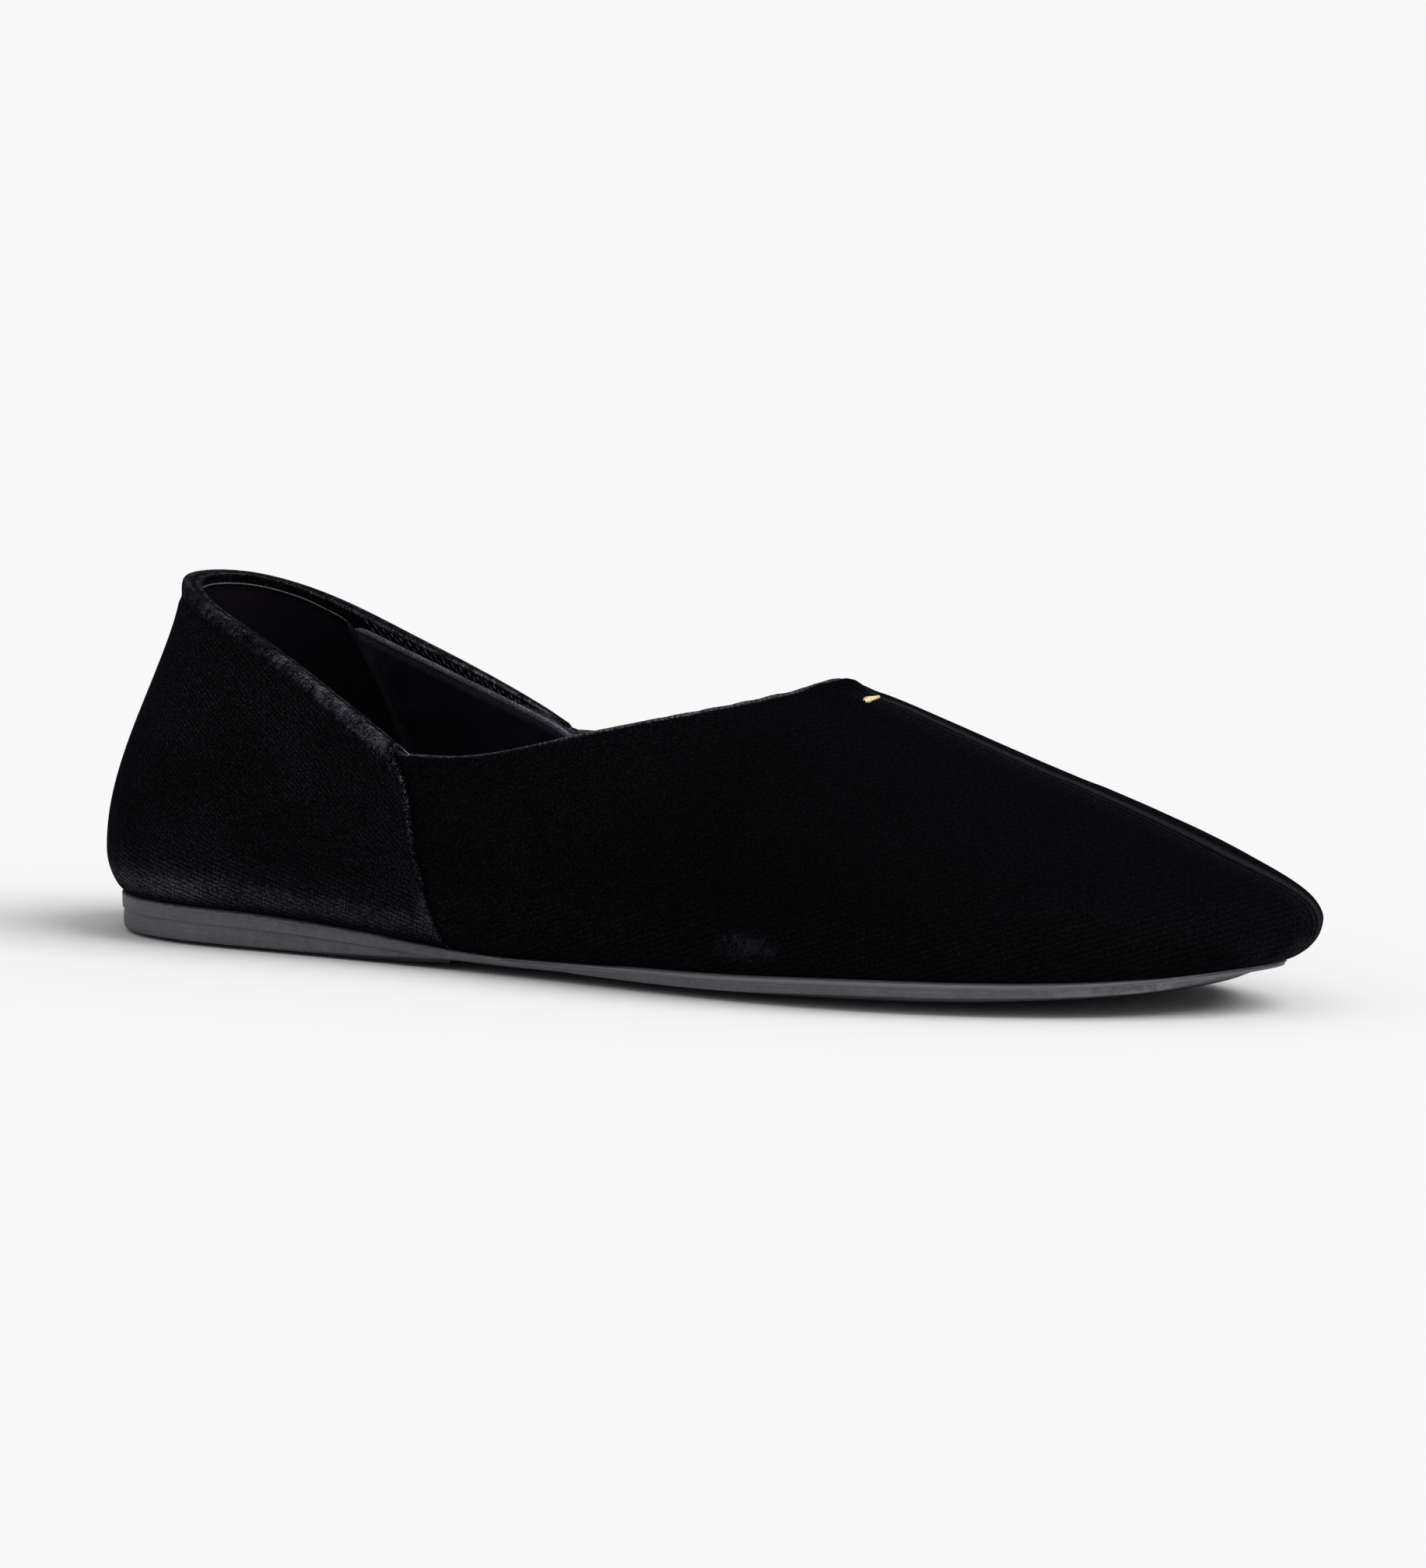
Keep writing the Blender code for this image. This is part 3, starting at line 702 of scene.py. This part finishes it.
# %% Rows of the pile
rows = (up * 0.788 + ring * 0.616 + clumps * 0.25).wave(0.80)
cross = (ring * 0.788 - up * 0.616 + clumps * 0.3).wave(0.70)
low_rows = (up * 0.956 + ring * 0.292 + clumps * 0.16).wave(0.90)
low_cross = (ring * 0.956 - up * 0.292 + clumps * 0.2).wave(0.75)
vamp_rows = (up * 0.95 - ring * 0.31 + clumps * 0.16).wave(1.0)
high = rise.rise(8.0, 18.0)
weave = rows * (cross * 0.7 + 0.3) * high + low_rows * (low_cross * 0.5 + 0.5) * (1 - high)
slanted = wire.node("ShaderNodeCombineXYZ", None,
                    {0: run * 1.9 + depth * 1.1, 1: depth * 0.4, 2: cloudy})
ticks = wire.noise(slanted, 1.0, 1.0).rise(0.38, 0.66)
dots = (run + clumps * 0.45).wave(1.0).rise(0.35, 0.85)
print("with rows:", len(velvet.node_tree.nodes), "nodes")

# %% Painted highlights of the collar, partly crushed nap
# Painted highlights in the base colour: speckled light on the rolled collar, brighter specks by the notch,
# a dotted light line along the vamp's edge and a thin light line on the crest inside. Part of the collar's
# brightness stands for crushed nap.
along_roll = where.rise(-82.0, -62.0) * 0.75 + where.fall(-114.0, -102.0) * 0.25 + 0.28
roll = quarter * depth.between(0.2, 0.9, 2.2, 3.5) * side.fall(-4.0, -1.0)
roll_light = roll * (glint * 0.9 + 0.1) * (ticks * 0.85 + 0.15) * (tufts * 0.6 + patchy * 0.4) * along_roll
by_notch = quarter * where.rise(-74.0, -60.0) * depth.between(1.0, 3.0, 2.5, 5.2)
by_notch = by_notch * spark * tufts * patchy
edge = depth - where.rise(-35.0, 15.0) * 0.3 - where.rise(15.0, 28.0) * 0.2
dotted = where.rise(-40.0, -15.0)
vamp_line = glint * 0.9 + spark * 0.4 + 0.08 + dots * dotted * 0.25
vamp_line = vamp * edge.between(0.3, 0.7, 1.15, 1.8) * vamp_line
vamp_line = vamp_line * (tufts * 0.6 + 0.4) * (where.rise(-46.0, -34.0) * 0.3 + 0.7)
vamp_line = vamp_line * (where.near(-8.0, 11.0) * 0.8 + 1.0)
turned = speckle * 0.035 + ticks * tufts * 0.06 + depth.fall(0.3, 0.8) * glint * 0.35
turned = wire.kept("inside") * turned
print("with the collar:", len(velvet.node_tree.nodes), "nodes")

# %% Painted light and shade of seams, sole line and ends, partly crushed nap
# Painted in the base colour: a speckled light band above the sole, partly crushed nap, with painted shade
# in its lowest few millimetres where the velvet turns under; painted light along the side seam; a painted
# highlight on the ball; light strips beside the centre seam; and a painted sheen on the toe and on the back
# of the heel.
low = (rise.fall(4.0, 7.0) * 0.7 + rise.fall(4.0, 12.0) * 0.3) * rise.rise(0.3, 3.0)
low_light = quarter * low * speckle * (weave * 0.7 + 0.3)
low_light = low_light * (tufts * 0.25 + patchy * 0.35 + 0.4) * (where.fall(-100.0, -75.0) * 0.5 + 0.75)
on_edge = side.between(-1.2, -0.8, -0.4, 0.0) + side.between(-2.9, -2.5, -2.2, -1.8) * 0.25
edge_light = outer * on_edge * where.fall(-29.0, -27.0) * glint * (tufts * 0.8 + 0.2)
edge_light = edge_light * (up.rise(20.0, 36.0) * 0.7 + 0.35)
edge_foot = quarter * side.between(-4.5, -1.2, -0.9, -0.2) * rise.between(1.0, 5.0, 5.0, 14.0)
edge_light = edge_light + edge_foot * speckle * 0.12
streaks = wire.noise(wire.stretch(place, (900.0, 900.0, 420.0), (0.0, 0.5, 0.0)), 1.0, 2.0).rise(0.42, 0.7)
ball_light = where.near(39.0, 8.0) * up.near(10.4, 3.4) * across.fall(-38.0, -36.0) * outer
ball_light = ball_light * (streaks * 0.6 + speckle * 0.4) * (tufts * 0.7 + 0.3)
beside = gap.sum("ABSOLUTE")
seam_zone = outer * where.rise(34.0, 37.0) * beside.fall(5.0, 8.0)
seam_light = beside.fall(0.2, 0.5) * 0.4 + gap.between(1.0, 1.5, 2.6, 5.0) * 0.8
seam_light = seam_light + gap.between(-6.0, -1.2, -1.1, -0.9) * 0.14
seam_light = seam_zone * seam_light * (speckle * 0.7 + 0.3)
toe_light = outer * where.rise(119.0, 128.0) * rise.fall(1.0, 7.0) * speckle * patchy
heel_glow = quarter * where.fall(-124.0, -108.0) * cloudy * speckle
print("with seams and ends:", len(velvet.node_tree.nodes), "nodes")

# %% Shade of the velvet
# The painted highlights of the velvet, summed; part of them stands for crushed nap.
crushed_nap_and_highlights = roll_light * 7.5 + by_notch * 1.2 + vamp_line * 2.9 + low_light * 0.98 + edge_light * 1.6 + turned
crushed_nap_and_highlights = crushed_nap_and_highlights + ball_light * 0.45 + seam_light * 0.24 + toe_light * 0.30 + heel_glow * 0.06
woven = quarter * (weave * (cloudy * 0.8 + 0.4) * 0.18 + 0.046)
vamp_woven = vamp_rows * (rise.fall(5.0, 18.0) * 0.030 + 0.010) + 0.040 + where.fall(-20.0, 40.0) * 0.014
woven = woven + vamp * vamp_woven
toeward = vamp * where.rise(0.0, 60.0)
grainy = speckle * 0.55 + glint * (0.9 - toeward * 0.6) + toeward * 0.06 + 0.09
velvet_shade = (woven * grainy + crushed_nap_and_highlights).shade(tone(0.0004, VELVET), tone(0.085, VELVET))
print("velvet's shade:", len(velvet.node_tree.nodes), "nodes")

# %% [markdown]
# The same wall carries the lining inside. It is a smooth dark cloth with a plum tint, in two parts that
# meet in an upright seam near the heel, and just under the turned-in collar it catches a little light.
# Velvet and lining are drawn on one mesh: the measures kept on its points say where each begins.

# %% Lining and the whole upper
grain = wire.noise(place, 1700.0, 3.0, 0.6).rise(0.25, 0.75)
# Painted light on the lining: the upper lining near the collar is lighter where light reaches in, a painted
# highlight lies in a band just under the fold, and another on the ridge of the upright seam, with painted
# specks beside it.
lit_part = depth.fall(3.5, 13.0) * cloudy * 0.8 + patchy * 0.2
under_fold = wire.kept("band_gap").fall(0.4, 2.3) * (speckle * 0.8 + 0.2)
under_fold = under_fold * (where.rise(-75.0, -40.0) * 0.4 + 0.4)
from_seam = wire.kept("lining_gap")
seam_highlight = from_seam.fall(0.5, 3.6) * speckle * tufts
seam_highlight = seam_highlight + from_seam.fall(3.0, 15.0) * up.rise(26.0, 42.0) * spark * patchy * 0.6
front_lit = grain * 0.13 + lit_part * 0.22 + seam_highlight * 1.3
front_shade = front_lit.shade(tone(0.0048, LINING), tone(0.0300, LINING))
front_shade = under_fold.shade(front_shade, tone(0.140, VELVET))
heel_shade = grain.shade(tone(0.0052, LINING), tone(0.0090, LINING))
lining_shade = wire.kept("heel_lining").shade(front_shade, heel_shade)
whole_shade = wire.kept("lining").shade(velvet_shade, lining_shade)
fuzz = pile * 0.5 + clumps * quarter * 0.25 + weave * quarter * 0.5 + vamp_rows * vamp * 0.03 + ticks * roll
fuzz = fuzz + patchy * (quarter * 0.4 + 0.1)
set_shader(shader, Base_Color=whole_shade, Roughness=0.95, Specular_IOR_Level=0.0, Sheen_Weight=0.010,
           Sheen_Roughness=0.3, Sheen_Tint=tone(0.8, VELVET),
           Normal=wire.bump(fuzz, 0.13 * MM, 0.8))
upper.data.materials.append(velvet)
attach(upper, "root")
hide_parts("upper")
print("velvet has", len(velvet.node_tree.nodes), "nodes")

# %% [markdown]
# ## Sole, heel lift and insole
# The sole is a thin leather plate with a burnished black edge, and the lift a low wedge under the heel
# that runs out toward the waist. The edges were ground on a wheel, which leaves fine lines along them.
# One finish serves both, and a plainer tone of it the footbed.

# %% Burnished finish
def edge_finish(name, dark, light, gloss):
    """Burnished black: fine lines along it, a painted lip highlight, a little wear, painted floor shadow,
    half gloss.
    """
    finish, wire, shader, place = new_finish(name)
    scuffs = wire.noise(place, 420.0, 4.0, 0.65)
    specks = wire.noise(place, 4200.0, 2.0, 0.6)
    broad = wire.noise(place, 35.0, 2.0)
    below = wire.kept("sole_rise")
    where = wire.axis(place, "X")
    ground = wire.node("ShaderNodeCombineXYZ", None, {0: where * 0.05, 1: below * 3.6, 2: broad})
    lines = wire.noise(ground, 1.0, 3.0, 0.6)
    # A painted highlight on the lip just below the top edge, from the waist forward.
    lip = below.between(-1.3, -0.9, -0.45, -0.3) * where.rise(-40.0, -5.0)
    worn = where.rise(85.0, 118.0) * scuffs.rise(0.4, 0.6)
    shine = lines * 0.24 + specks * 0.35 + scuffs * 0.26 + broad * 0.15 + lip * 0.30 + worn * 0.25
    # Painted contact shadow: the edge is darkened within about a millimetre of the floor. pile_over darkens
    # a wavy line along the top, where the velvet's pile hangs over it.
    clear = wire.kept("floor_rise").rise(0.45, 1.1)
    pile_over = (below + scuffs * 1.2 + specks * 0.3).rise(0.1, 0.6)
    pile_over = pile_over * (where.fall(-30.0, 10.0) * 0.6 + 0.4)
    clear = clear * (1 - pile_over * 0.8)
    set_shader(shader, Base_Color=((shine.rise(0.25, 0.8) * 0.7 + 0.3) * clear).shade(dark, light),
               Roughness=gloss + scuffs * 0.22,
               Specular_IOR_Level=0.25,
               Normal=wire.bump(lines * 0.4 + specks * 0.3 + scuffs * 0.3, 0.03 * MM, 0.6))
    return finish


print("burnished finish ready")

# %% [markdown]
# The sole pieces start from their solids too. The sole's side is not one plain wall: at the heel a fine
# groove runs below its top edge, and the tip of the toe is thinner. The lower rim of sole and lift stands
# a little off the floor, and the finish paints the lowest millimetre of the edge dark as a contact
# shadow: together they give the thin dark line of a shoe that really stands there.

# %% Sole pieces
UNDER_X = (-125.4, -105.0, -79.0, -52.0, -29.0, -7.0, 14.0, 35.0, 59.0, 75.0, 92.5, 109.8, 121.5)
UNDER_Z = (4.1, 4.0, 3.7, 2.6, 1.4, 1.2, 0.7, 0.0, 0.0, 0.5, 1.9, 3.9, 6.3)
LOWEST_X = (-126.0, -80.0, -62.0, -46.0, -33.0, -24.0)
LOWEST_Z = (0.0, 0.0, 0.25, 0.75, 1.30, 1.45)
EDGE_DOWN = (0.0, 0.1, 0.26, 0.34, 0.72, 0.92, 1.0)
EDGE_OUT = (0.25, 0.0, 0.0, 0.4, 0.35, 0.45, 0.5)
RIM_LIFT = 0.40

# The light tone of these black edges is partly their burnish and partly a painted reflection of the white
# studio, since their specular is kept low.
burnished = edge_finish("burnished_edge", tone(0.004, LEATHER), tone(0.156, LEATHER), 0.42)
lift_finish = edge_finish("lift_rubber", tone(0.004, LEATHER), tone(0.156, LEATHER), 0.44)
insole_finish = edge_finish("footbed_leather", tone(0.009, LINING), tone(0.016, LINING), 0.6)

for node, name, finish, top_lift in (("outsole", "leather_sole", burnished, 0.26),
                                     ("heel_lift", "heel_wedge", lift_finish, 0.9),
                                     ("insole", "footbed", insole_finish, 0.26)):
    piece = start_from_solid(node, name)
    crease_edges(piece, 32.0, 1.0)
    round_off(piece, 1, 0)
    points, outward = points_of(piece), normals_of(piece)
    x, z = points[:, 0], points[:, 2]
    if node == "outsole":
        top = np.interp(x, SOLE_X, SOLE_Z) - 0.3
        down = (top - z) / (top - np.interp(x, UNDER_X, UNDER_Z))
        stand_out = np.interp(down, EDGE_DOWN, EDGE_OUT) - 0.12
        level = outward * (1.0, 1.0, 0.0)
        level /= np.maximum(np.linalg.norm(level, axis=1, keepdims=True), 0.3)
        at_heel = (1.0 - ramp(x, -40.0, -12.0)) * (abs(outward[:, 2]) < 0.9)
        points[:, 2] = top - (top - z) * (1.0 - 0.45 * ramp(x, 106.0, 121.0) * (z < top))
        points += level * (stand_out * at_heel)[:, None]
    if node == "heel_lift":
        points[:, 2] = np.maximum(z, np.interp(x, LOWEST_X, LOWEST_Z))
    points[:, 2] += top_lift * ramp(outward[:, 2], 0.25, 0.5)
    if node != "insole":
        walls = points[abs(outward[:, 2]) < 0.5][:, :2]
        inward = np.min(np.linalg.norm(points[:, None, :2] - walls[None, :, :], axis=2), axis=1)
        points[:, 2] += RIM_LIFT * (1.0 - ramp(inward, 3.0, 9.0)) * ramp(-outward[:, 2], 0.3, 0.6)
    move_points(piece, points)
    keep(piece, "sole_rise", points[:, 2] - np.interp(x, SOLE_X, SOLE_Z))
    lowest = np.where(x < -28.0, np.interp(x, LOWEST_X, LOWEST_Z), np.interp(x, UNDER_X, UNDER_Z))
    keep(piece, "floor_rise", points[:, 2] - lowest)
    select_only(piece)
    bpy.ops.object.shade_smooth_by_angle(angle=math.radians(50))
    piece.data.materials.append(finish)
    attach(piece, "root")
    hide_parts(node)

# %% [markdown]
# ## Threads
# Inside the collar the velvet is turned in and held by small slanting stitches, the heel lining ends in
# a fine thread line, and the front lining in a folded edge. A gold bar tack guards the throat. All of
# them are laid on the finished wall: a spot near it is drawn to the nearest place on the mesh.

# %% Find spots on the inner wall
COLLAR_WALL = 3.2


def on_upper(guess):
    """The spot of the upper that is nearest to a guess, and its normal."""
    _, spot, normal, _ = upper.closest_point_on_mesh(Vector(guess) * MM)
    return np.array(spot) / MM, np.array(normal)


def wall_spot(place, depth):
    """A spot on the inner wall so far below the crest, its normal and the way to the toe."""
    count = len(crest_points)
    here = crest_points[place % count]
    ahead = crest_points[(place + 3) % count] - crest_points[(place - 3) % count]
    ahead = ahead / np.linalg.norm(ahead)
    if here[1] > MIDDLE_Y:
        ahead = -ahead
    inward = np.array((np.clip(here[0], HEEL_CENTRE, 15.0) - here[0], MIDDLE_Y - here[1], 0.0))
    inward = inward - ahead * (inward @ ahead)
    inward[2] = 0.0
    inward = inward / np.linalg.norm(inward)
    spot, normal = on_upper(here + inward * COLLAR_WALL - np.array((0.0, 0.0, depth)))
    return spot, normal, ahead


def evened(path, rounds=4):
    """A path with its small jumps evened out, its ends kept."""
    path = np.array(path, float)
    for _ in range(rounds):
        path[1:-1] = 0.25 * path[:-2] + 0.5 * path[1:-1] + 0.25 * path[2:]
    return path


print("a spot at the heel:", wall_spot(0, BAND[0])[0].round(1), "mm")

# %% Lay a band on the wall
def laid_band(name, laid, half_width, half_height):
    """A thread or a folded edge of oval section laid along spots on a wall, as a closed mesh."""
    spots, normals = evened([one[0] for one in laid]), evened([one[1] for one in laid])
    ahead = np.gradient(spots, axis=0)
    ahead /= np.linalg.norm(ahead, axis=1, keepdims=True)
    aside = np.cross(normals, ahead)
    aside /= np.linalg.norm(aside, axis=1, keepdims=True)
    over = np.cross(ahead, aside)
    count, sides = len(spots), 10
    turns = np.linspace(0.0, 2.0 * math.pi, sides, endpoint=False)
    from_end = np.minimum(np.arange(count), np.arange(count)[::-1])
    taper = np.clip(from_end / 2.0 + 0.3, 0.0, 1.0)[:, None]
    rings = [spots + taper * (aside * math.cos(turn) * half_width + over * math.sin(turn) * half_height)
             for turn in turns]
    corners = np.stack(rings, axis=1).reshape(-1, 3)
    faces = []
    for ring in range(count - 1):
        for k in range(sides):
            here, beside = ring * sides + k, ring * sides + (k + 1) % sides
            faces.append([here, beside, beside + sides, here + sides])
    faces += [list(range(sides))[::-1], [(count - 1) * sides + k for k in range(sides)]]
    mesh = bpy.data.meshes.new(name)
    mesh.from_pydata((corners * MM).tolist(), [], faces)
    piece = new_piece(name, mesh)
    bpy.ops.object.mode_set(mode="EDIT")
    bpy.ops.mesh.select_all(action="SELECT")
    bpy.ops.mesh.normals_make_consistent(inside=False)
    bpy.ops.object.mode_set(mode="OBJECT")
    bpy.ops.object.shade_smooth()
    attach(piece, "root")
    print(name, "has", len(mesh.polygons), "faces")
    return piece


print("bands can be laid")

# %% Finishes of thread and lining cloth
def thread_finish(name, dark, light, gloss, metal=0.0):
    """Twisted thread: short painted lights along it."""
    finish, wire, shader, place = new_finish(name)
    twist = wire.noise(place, 2600.0, 2.0, 0.6).rise(0.35, 0.65)
    set_shader(shader, Base_Color=twist.shade(dark, light), Roughness=gloss + twist * 0.15,
               Metallic=metal, Normal=wire.bump(twist, 0.05 * MM, 0.6))
    return finish


def cloth_finish(name, dark, light):
    """A turned edge of lining cloth, with patches of painted light along it."""
    finish, wire, shader, place = new_finish(name)
    patchy_light = wire.noise(place, 160.0, 3.0, 0.6).rise(0.3, 0.7)
    grain = wire.noise(place, 3600.0, 2.0, 0.6).rise(0.38, 0.66)
    set_shader(shader, Base_Color=((patchy_light * 0.7 + 0.3) * (grain * 0.8 + 0.2)).shade(dark, light),
               Roughness=0.9, Specular_IOR_Level=0.1,
               Normal=wire.bump(grain + patchy_light * 2.0, 0.06 * MM, 0.7))
    return finish


print("finishes of thread and cloth ready")

# %% Heel lining thread and folded lining edges
HALVES_X = -91.5


def band_depth(place):
    """How far the turned-in velvet reaches down at a place of the crest."""
    return float(np.interp(crest_points[place][0], BAND_X, BAND))


heel_half = [place for place in range(len(crest_points)) if crest_points[place][0] < HALVES_X]
heel_half.sort(key=lambda place: (place + len(crest_points) // 2) % len(crest_points))
laid = [wall_spot(place, band_depth(place)) for place in heel_half[::2]]
heel_thread = laid_band("heel_lining_thread", laid, 0.16, 0.14)
heel_thread.data.materials.append(thread_finish("lining_thread", tone(0.03), tone(0.11), 0.7))

front_half = [place for place in range(len(crest_points)) if crest_points[place][0] > HALVES_X]
laid = [wall_spot(place, band_depth(place) + 0.5) for place in front_half[::2]]
fold = laid_band("lining_fold", laid, 0.70, 0.30)
# The fold is drawn far lighter than the lining cloth it is turned from: a painted highlight on its edge.
fold.data.materials.append(cloth_finish("folded_lining", tone(0.030, VELVET), tone(0.320, VELVET)))

# %% Upright edges of the lining
edge_cloth = cloth_finish("lining_edge", tone(0.0045, LINING), tone(0.020, LINING))
for name, toward in (("lining_edge_inner", 1.0), ("lining_edge_outer", -1.0)):
    laid = [on_upper((np.interp(height, LINING_Z, LINING_X), MIDDLE_Y + toward * 16.0, height))
            for height in np.linspace(57.4, 13.0, 46)]
    edge = laid_band(name, laid, 0.80, 0.18)
    edge.data.materials.append(edge_cloth)

# %% [markdown]
# The turned-in velvet is caught by short slanting stitches in two rows. Each is a small long bead, laid
# along the crest at uneven lengths and leans, since stitches never repeat exactly. One mesh holds them
# all, which is lighter than hundreds of objects.

# %% Slanting stitches of the turned-in velvet
def lay_copies(model, frames, name):
    """One mesh with a copy of the model at each frame, which is a place and three axes."""
    shape = points_of(model)
    sides = [list(face.vertices) for face in model.data.polygons]
    corners, faces = [], []
    for place, axes in frames:
        faces.extend([[corner + len(corners) * len(shape) for corner in side] for side in sides])
        corners.append(place + shape @ np.array(axes))
    mesh = bpy.data.meshes.new(name)
    mesh.from_pydata((np.vstack(corners) * MM).tolist(), [], faces)
    mesh.update()
    bpy.data.objects.remove(model)
    piece = new_piece(name, mesh)
    bpy.ops.object.shade_smooth()
    print(name, "has", len(frames), "copies and", len(mesh.polygons), "faces")
    return piece


STITCH = (0.80, 0.12, 0.11)
ROWS = (0.70, 0.34)
STITCHES_FROM = -89.0

bpy.ops.object.select_all(action="DESELECT")
bpy.ops.mesh.primitive_uv_sphere_add(segments=6, ring_count=6, radius=1.0 * MM)
stitch = bpy.context.object
bpy.ops.transform.resize(value=STITCH)
bpy.ops.object.transform_apply(location=True, rotation=True, scale=True)
frames = []
uneven = np.random.default_rng(7)
for number, place in enumerate(front_half[::2]):
    if crest_points[place][0] < STITCHES_FROM:
        continue
    width = band_depth(place)
    row = ROWS[number % 2] + uneven.uniform(-0.06, 0.06)
    spot, normal, ahead = wall_spot(place, width * row)
    down = np.cross(normal, ahead)
    down = down if down[2] < 0 else -down
    lean = ahead + down * uneven.uniform(0.45, 0.85)
    lean = lean / np.linalg.norm(lean)
    length = min(1.1, width / 2.9) * uneven.uniform(0.6, 1.1)
    thick = np.cross(normal, lean) * uneven.uniform(0.7, 1.2)
    frames.append((spot + normal * 0.02, (lean * length, thick, normal)))
stitches = lay_copies(stitch, frames, "collar_stitches")
stitch_finish = thread_finish("stitch_thread", tone(0.006, VELVET), tone(0.070, VELVET), 0.95)
stitches.data.materials.append(stitch_finish)
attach(stitches, "root")

# %% [markdown]
# A bar tack is a dense bar of thread sewn over the end of a seam, so that the seam can't tear open. Each
# turn of the thread is a half ring here, and a row of them crosses the seam, thick at the outer end.

# %% Gold bar tack at the throat
GOLD_DARK = (0.62, 0.40, 0.15, 1.0)
GOLD_LIGHT = (0.95, 0.78, 0.46, 1.0)

bpy.ops.object.select_all(action="DESELECT")
bpy.ops.mesh.primitive_torus_add(major_radius=0.40 * MM, minor_radius=0.15 * MM,
                                 major_segments=20, minor_segments=8)
loop = bpy.context.object
bpy.ops.object.mode_set(mode="EDIT")
bpy.ops.mesh.select_all(action="SELECT")
bpy.ops.mesh.bisect(plane_co=(0.0, -0.12 * MM, 0.0), plane_no=(0.0, 1.0, 0.0),
                    clear_inner=True, use_fill=True)
bpy.ops.object.mode_set(mode="OBJECT")
shares = np.linspace(0.0, 1.0, 34)
laid = [on_upper((39.4 - 0.5 * share ** 2, -0.4 + 5.6 * share, 52.5)) for share in shares]
spots = evened([one[0] for one in laid], 40)
normals = evened([one[1] for one in laid], 40)
frames = []
for share, spot, normal in zip(shares, spots, normals):
    over = np.array((0.0, 1.0, 0.0)) - normal * normal[1]
    over = over / np.linalg.norm(over)
    bulge = (1.50 - 0.85 * share) * min(1.0, 0.55 + share * 4.0)
    frames.append((spot, (np.cross(normal, over) * bulge, normal * bulge * 0.85, over)))
tack = lay_copies(loop, frames, "gold_bar_tack")
tack.data.materials.append(thread_finish("gold_thread", GOLD_DARK, GOLD_LIGHT, 0.3, 0.35))
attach(tack, "root")
